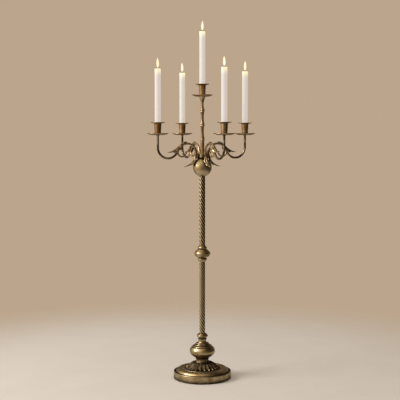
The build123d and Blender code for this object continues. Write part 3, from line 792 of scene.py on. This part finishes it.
def leaf_loops(azimuth, spine, widths, droops, thicknesses):
    """Loops round a pointed leaf, folded over its midrib, along a curve in an arm's plane, and their marks:
    rub and painted highlight above nought, patina and painted shade below.

    Its rows sweep towards the tip, and each lobe of the edge has a vein along the middle of its rows.
    """
    rows, across, lobes = 84, 28, 4
    sweep, cut_depth = 0.14, 0.26
    shares = [-1 + 2 * k / across for k in range(across + 1)]
    loops, wear = [], []
    for i in range(rows + 1):
        t = i / rows
        half = between(widths, t) / 2
        droop = between(droops, t)
        thick = between(thicknesses, t)
        fold = 2 * math.atan(droop / half)
        bend = half / math.sin(fold)
        part = t * lobes % 1
        cut = 1 - smooth(part / 0.6) + smooth((part - 0.86) / 0.14)
        spread = 1 - cut_depth * cut * smooth(t / 0.12) * smooth((1 - t) / 0.1)
        vein = math.cos(2 * math.pi * (part - 0.5)) * smooth(t / 0.1) * smooth((1 - t) / 0.1)

        def point(v, sign):
            """A point of the upper or lower face, v from -1 to 1 across the leaf."""
            u = abs(v)
            spot, way = bezier(spine, min(1.0, t + sweep * u**1.5 * (1 - t) * smooth(t / 0.15)))
            out = Vector((-way.y, way.x))
            angle = v * fold * spread
            edge = math.sqrt(max(0.0, 1 - u**3))
            rise = sign * (0.42 * thick * edge + 0.15)
            if sign > 0:
                rib = 0.45 * bump_at(u, 0.0, 0.12) - 0.16 * bump_at(u, 0.24, 0.12)
                rise += thick * edge * (rib + 0.16 * vein * smooth(u / 0.25))
            side = (bend + rise) * math.sin(angle)
            lift = (bend + rise) * math.cos(angle) - bend
            return place(azimuth, spot.x + out.x * lift, side, spot.y + out.y * lift)

        loops.append([point(v, 1) for v in shares] + [point(-v, -1) for v in shares])
        # Midrib, edges and veins rubbed brighter, in part a painted highlight; the underside dark with patina
        # and painted shade
        for u in map(abs, shares):
            wear.append(0.9 * bump_at(u, 0.0, 0.1) + 0.7 * bump_at(u, 1.0, 0.14) + 0.3 * vein - 0.25)
        wear += [-0.6] * len(shares)
    return loops, wear


def make_leaves(name, node, spine, widths, droops, thicknesses):
    """One leaf on each arm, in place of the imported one."""
    for side, azimuth in SIDES.items():
        loops, wear = leaf_loops(azimuth, spine, widths, droops, thicknesses)
        new_piece(
            f"{name}_{side}", skin(loops), brass("Leaf Brass"), "stand", f"{node}_{side}", wear
        )


class CANDELABRA_OT_husks(bpy.types.Operator):
    """Make the leaf that lies over the arch of each arm"""

    bl_idname = "candelabra.husks"
    bl_label = "Husk Leaves"

    def execute(self, context):
        wide = context.scene.candelabra_form.husk_width / MM
        spine = ((64.0, 873.2), (89.0, 873.0), (99.0, 838.0), (139.0, 835.6))
        widths = (
            (0.0, wide * 0.34), (0.2, wide * 0.66), (0.5, wide), (0.74, wide * 0.74), (0.9, wide * 0.36),
            (1.0, 0.9),
        )
        droops = ((0.0, 3.0), (0.24, 8.0), (0.5, 13.5), (0.66, 12.0), (0.82, 4.0), (1.0, 0.3))
        thicknesses = ((0.0, 2.0), (0.35, 3.0), (0.75, 2.4), (1.0, 0.9))
        make_leaves("husk", "husk_leaf", spine, widths, droops, thicknesses)
        return {"FINISHED"}


class CANDELABRA_OT_spurs(bpy.types.Operator):
    """Make the leaf that curls out below each arm"""

    bl_idname = "candelabra.spurs"
    bl_label = "Spur Leaves"

    def execute(self, context):
        wide = context.scene.candelabra_form.spur_width / MM
        spine = ((30.6, 848.0), (24.6, 812.0), (36.0, 790.0), (73.6, 782.6))
        widths = (
            (0.0, wide * 0.36), (0.18, wide * 0.7), (0.42, wide), (0.64, wide * 0.86), (0.86, wide * 0.42),
            (1.0, 0.9),
        )
        droops = ((0.0, 2.0), (0.35, 5.4), (0.6, 5.0), (0.82, 2.4), (1.0, 0.2))
        thicknesses = ((0.0, 2.0), (0.4, 3.2), (0.75, 2.6), (1.0, 0.9))
        make_leaves("spur", "spur_leaf", spine, widths, droops, thicknesses)
        return {"FINISHED"}


class CANDELABRA_OT_tendrils(bpy.types.Operator):
    """Make the tapered hook with a bud under the arch of each arm"""

    bl_idname = "candelabra.tendrils"
    bl_label = "Tendrils"

    def execute(self, context):
        centre = Vector((81.4, 836.2))
        hook_radius, start, sweep = 17.4, math.radians(4), math.radians(196)
        rows, around = 60, 18
        bud_start = 0.86
        for side, azimuth in SIDES.items():
            loops = []
            for i in range(rows + 1):
                t = i / rows
                angle = start - sweep * t
                out = Vector((math.cos(angle), math.sin(angle)))
                spot = centre + out * (hook_radius * (1 - 0.10 * t))
                thick = 3.5 - 1.0 * t
                if t > bud_start:
                    s = (t - bud_start) / (1 - bud_start)
                    thick = max(0.15, 2.2 + 2.1 * math.sin(math.pi * min(1.0, s * 1.02)) - 2.1 * s**6)
                loop = []
                for k in range(around):
                    turn = 2 * math.pi * k / around
                    edge = spot + out * (thick * math.cos(turn))
                    loop.append(place(azimuth, edge.x, thick * math.sin(turn), edge.y))
                loops.append(loop)
            new_piece(
                f"hook_{side}", skin(loops), brass("Bar Brass"), "stand", f"tendril_{side}"
            )
        return {"FINISHED"}


def melted(index, reach, rise):
    """How far one candle's melted edge strays outward and upward, as a function of the angle round it."""

    def stray(angle):
        spot = Vector((math.cos(angle) * 1.3, math.sin(angle) * 1.3, 4.7 * index))
        return reach * noise.noise(spot), rise * noise.noise(spot + Vector((9.1, 2.3, 5.7)))

    return stray


class CANDELABRA_OT_candles(bpy.types.Operator):
    """Make the candles, with a softened rim and a melt pool, and their wicks"""

    bl_idname = "candelabra.candles"
    bl_label = "Candles"

    def execute(self, context):
        stands = context.scene.candelabra_form.wick_stands / MM
        wax, char = wax_material(), wick_material()
        shaft_foot, shaft_length, shaft_rows, wick_rows = 43.8, 180.0, 24, 26
        # Foot in the cup, shaft, then rim and melt pool: radius, height, and how far each strays
        profile = [(9.3, 16.8, 0, 0), (10.25, 18.0, 0, 0), (11.0, shaft_foot, 0, 0)]
        for k in range(1, shaft_rows + 1):
            rise = shaft_foot + shaft_length * k / shaft_rows
            profile.append((11.0 - 0.02 * math.sin(k * 1.7), rise, 0.05, 0))
        profile += [
            (11.0, 230.5, 0.08, 0), (11.0, 233.6, 0.14, 0.1), (10.92, 235.2, 0.2, 0.3),
            (10.6, 236.4, 0.24, 0.5), (10.0, 237.1, 0.24, 0.7), (9.2, 237.3, 0.3, 0.7),
            (8.4, 237.0, 0.3, 0.6), (7.4, 236.3, 0.3, 0.4), (5.6, 235.6, 0.2, 0.2),
            (3.6, 235.3, 0, 0), (1.8, 235.4, 0, 0), (1.1, 235.8, 0, 0),
        ]
        for index, side in enumerate(LIGHTS):
            x, y, seat = seat_of(side)
            body = f"candle_{side}_body"
            loops = [
                circle_loop((x, y), radius, seat + height, 48, melted(index, out, up))
                for radius, height, out, up in profile
            ]
            new_piece(f"wax_{side}", skin(loops), wax, body, f"candle_{side}")
            lean = 2 * math.pi * noise.noise(Vector((index * 3.1, 0.4, 0.7)))
            loops = []
            for i in range(wick_rows + 1):
                t = i / wick_rows
                rise = seat + WICK_ROOT + (CANDLE_RIM + stands - WICK_ROOT) * t
                bend = 1.7 * smooth((t - 0.35) / 0.65) ** 1.5
                centre = (x + bend * math.cos(lean), y + bend * math.sin(lean))
                loops.append(circle_loop(centre, 0.9 - 0.28 * t + 0.06 * math.sin(t * 40), rise, 14))
            new_piece(f"braid_{side}", skin(loops), char, body, f"wick_{side}")
        return {"FINISHED"}


class CANDELABRA_OT_flames(bpy.types.Operator):
    """Make the flame of each candle"""

    bl_idname = "candelabra.flames"
    bl_label = "Flames"

    def execute(self, context):
        form = context.scene.candelabra_form
        colours = finishes()
        heart = flame_material("Flame Heart", colours.flame_heart, 1.5, 1.0, 0.3)
        mantle = flame_material("Flame Mantle", colours.flame_edge, 1.0, 0.4, 0.2)
        height = form.flame_height / MM
        mantle_taller = 2.0
        layers = ((form.flame_width / MM, 0.0), (form.mantle_width / MM, mantle_taller))
        rows, around = 40, 28
        for index, side in enumerate(LIGHTS):
            x, y, seat = seat_of(side)
            sway = 2 * math.pi * noise.noise(Vector((index * 2.7, 1.9, 0.2)))
            verts, faces, layer_of_face = [], [], []
            for layer, (width, taller) in enumerate(layers):
                loops = []
                for i in range(rows + 1):
                    t = 0.01 + 0.985 * i / rows
                    girth = (t**0.62) * ((1 - t) ** 0.86) * 1.72
                    lean = 1.1 * t * t
                    centre = (x + lean * math.cos(sway), y + lean * math.sin(sway))
                    rise = seat + FLAME_ROOT - taller / 2 + (height + taller) * t
                    loops.append(circle_loop(centre, width / 2 * girth, rise, around))
                more_verts, more_faces = skin(loops)
                faces += [tuple(len(verts) + k for k in face) for face in more_faces]
                verts += more_verts
                layer_of_face += [layer] * len(more_faces)
            piece = new_piece(f"flame_{side}", (verts, faces), heart, f"candle_{side}_body")
            piece.data.materials.append(mantle)
            piece.data.polygons.foreach_set("material_index", layer_of_face)
        return {"FINISHED"}


# Stage


def floor_material():
    """Plain pale floor that fades into the backdrop away from the object. Metal sees it a little darker."""
    colour = bpy.context.scene.candelabra_stage.floor
    material, n, shader = new_material("Pale Floor")
    where = n.where()
    far = n.add("ShaderNodeVectorMath", {0: where}, operation="LENGTH").outputs["Value"]
    mottle = n.noise(where, 6.0, 5.0)
    tone = n.mix(n.span(mottle, 0.3, 0.7), rgba(colour), rgba(colour, 0.97))
    shown = n.add("ShaderNodeLightPath").outputs["Is Camera Ray"]
    n.set(
        shader,
        {
            "Base Color": n.mix(shown, rgba(colour, 0.68), tone), "Roughness": 0.6,
            "Alpha": n.span(far, 0.7, 1.7, 1.0, 0.0),
        },
    )
    return material


def backdrop_world():
    """A plain backdrop to the eye. Metal sees it lighter towards the lamp and darker away from it."""
    stage = bpy.context.scene.candelabra_stage
    world = bpy.data.worlds.new("Plain Backdrop")
    bpy.context.scene.world = world
    world.use_nodes = True
    world.node_tree.nodes.clear()
    n = Nodes(world.node_tree)
    way = n.add("ShaderNodeTexCoord").outputs["Generated"]
    # Each glow: its turn from the camera to the right, the level and upward parts of the way to it, how
    # squarely a ray has to point at it to meet its edge and its full strength, and that strength
    glows = (
        (-stage.key_turn, 0.97, 0.24, 0.25, 0.98, 1.68),
        (math.pi, 1.0, 0.0, 0.1, 0.95, 0.28),
        (math.radians(24), 0.98, 0.2, 0.75, 0.99, 0.38),
        (math.radians(-50), 0.5, 0.866, 0.6, 0.98, 1.0),
    )
    bright = 0.07
    for turn, level, rise, edge, full, strength in glows:
        angle = stage.azimuth + turn
        aim = (level * math.sin(angle), -level * math.cos(angle), rise)
        square = n.add("ShaderNodeVectorMath", {0: way, 1: aim}, operation="DOT_PRODUCT").outputs["Value"]
        bright = n.math("ADD", n.span(square, edge, full, 0.0, strength), bright)
    mirrored = n.add("ShaderNodeVectorMath", {0: stage.wall, "Scale": bright}, operation="SCALE").outputs[0]
    path = n.add("ShaderNodeLightPath").outputs
    shown = n.add("ShaderNodeBackground", {"Color": rgba(stage.wall), "Strength": 1.0}).outputs[0]
    seen = n.add("ShaderNodeBackground", {"Color": mirrored, "Strength": 1.0}).outputs[0]
    lit = n.add("ShaderNodeBackground", {"Color": rgba((1.0, 0.86, 0.72)), "Strength": 0.36}).outputs[0]
    glossy = n.math("MAXIMUM", path["Is Glossy Ray"], path["Is Transmission Ray"])
    inner = n.add("ShaderNodeMixShader", {0: glossy, 1: lit, 2: seen}).outputs[0]
    mixed = n.add("ShaderNodeMixShader", {0: path["Is Camera Ray"], 1: inner, 2: shown}).outputs[0]
    n.add("ShaderNodeOutputWorld", {"Surface": mixed})


def soft_lamp(name, spot, size, power, colour, mirrored):
    """A soft lamp that faces the middle of the column. Metal may mirror it or not."""
    data = bpy.data.lights.new(name, "AREA")
    data.shape = "RECTANGLE"
    data.size, data.size_y = size
    data.energy = power
    data.color = colour
    lamp = bpy.data.objects.new(name, data)
    lamp.location = spot
    lamp.rotation_euler = (LAMP_AIM - spot).to_track_quat("-Z", "Y").to_euler()
    lamp.visible_glossy = mirrored
    bpy.context.scene.collection.objects.link(lamp)


class CANDELABRA_OT_stage(bpy.types.Operator):
    """Set up the floor, backdrop, lamps and camera"""

    bl_idname = "candelabra.stage"
    bl_label = "Stage"

    def execute(self, context):
        stage = context.scene.candelabra_stage
        rings = [circle_loop((0, 0), r, 0.0, 96) for r in (1900.0, 1400.0, 900.0, 500.0, 250.0, 60.0)]
        floor = new_object("stage_floor", skin(rings, cap_start=False), floor_material())
        floor.location.z = -0.0002
        backdrop_world()

        turn = stage.azimuth
        up = Vector((0.0, 0.0, 1.0))
        back = Vector((math.sin(turn), -math.cos(turn), 0.0))
        right = Vector((math.cos(turn), math.sin(turn), 0.0))
        reach = stage.key_distance
        key_spot = (
            right * (-reach * math.sin(stage.key_turn)) + back * (reach * math.cos(stage.key_turn))
            + up * (0.6 + reach * math.tan(stage.key_lift))
        )
        fill_spot = right * 0.3 + back * 0.6 + up * 3.2
        soft_lamp("key_lamp", key_spot, (2.2, 2.6), stage.key_power, (0.94, 0.97, 1.0), True)
        soft_lamp("top_fill", fill_spot, (1.8, 1.8), 18.0, (1.0, 0.96, 0.9), False)

        data = bpy.data.cameras.new("photo_camera")
        data.sensor_fit = "HORIZONTAL"
        data.sensor_width = 36.0
        data.lens = stage.lens
        data.shift_x = -0.0058
        data.shift_y = -0.05
        camera = bpy.data.objects.new("photo_camera", data)
        camera.location = back * stage.distance + up * stage.height
        camera.rotation_euler = (math.pi / 2 - stage.pitch, 0.0, stage.azimuth)
        context.scene.collection.objects.link(camera)
        context.scene.camera = camera
        context.scene.view_settings.view_transform = "Standard"
        return {"FINISHED"}


class CANDELABRA_PT_panel(bpy.types.Panel):
    """Lists the settings and the pieces"""

    bl_idname = "CANDELABRA_PT_panel"
    bl_label = "Candelabra"
    bl_space_type = "VIEW_3D"
    bl_region_type = "UI"
    bl_category = "Candelabra"

    def draw(self, context):
        for group in SETTINGS:
            box = self.layout.box()
            settings = getattr(context.scene, group)
            for name in settings.__annotations__:
                box.prop(settings, name)
        for operator in OPERATORS:
            self.layout.operator(operator.bl_idname)


SETTINGS = {
    "candelabra_form": FormSettings,
    "candelabra_finish": FinishSettings,
    "candelabra_stage": StageSettings,
}
OPERATORS = (
    CANDELABRA_OT_metal,
    CANDELABRA_OT_collar,
    CANDELABRA_OT_husks,
    CANDELABRA_OT_spurs,
    CANDELABRA_OT_tendrils,
    CANDELABRA_OT_candles,
    CANDELABRA_OT_flames,
    CANDELABRA_OT_stage,
)
CLASSES = (*SETTINGS.values(), *OPERATORS, CANDELABRA_PT_panel)


def register():
    for kind in CLASSES:
        bpy.utils.register_class(kind)
    for name, kind in SETTINGS.items():
        setattr(bpy.types.Scene, name, bpy.props.PointerProperty(type=kind))


def unregister():
    for name in SETTINGS:
        delattr(bpy.types.Scene, name)
    for kind in reversed(CLASSES):
        bpy.utils.unregister_class(kind)


def main():
    register()
    bpy.ops.candelabra.metal()
    bpy.ops.candelabra.collar()
    bpy.ops.candelabra.husks()
    bpy.ops.candelabra.spurs()
    bpy.ops.candelabra.tendrils()
    bpy.ops.candelabra.candles()
    bpy.ops.candelabra.flames()
    bpy.ops.candelabra.stage()
    bpy.context.view_layer.update()


if __name__ == "__main__":
    main()
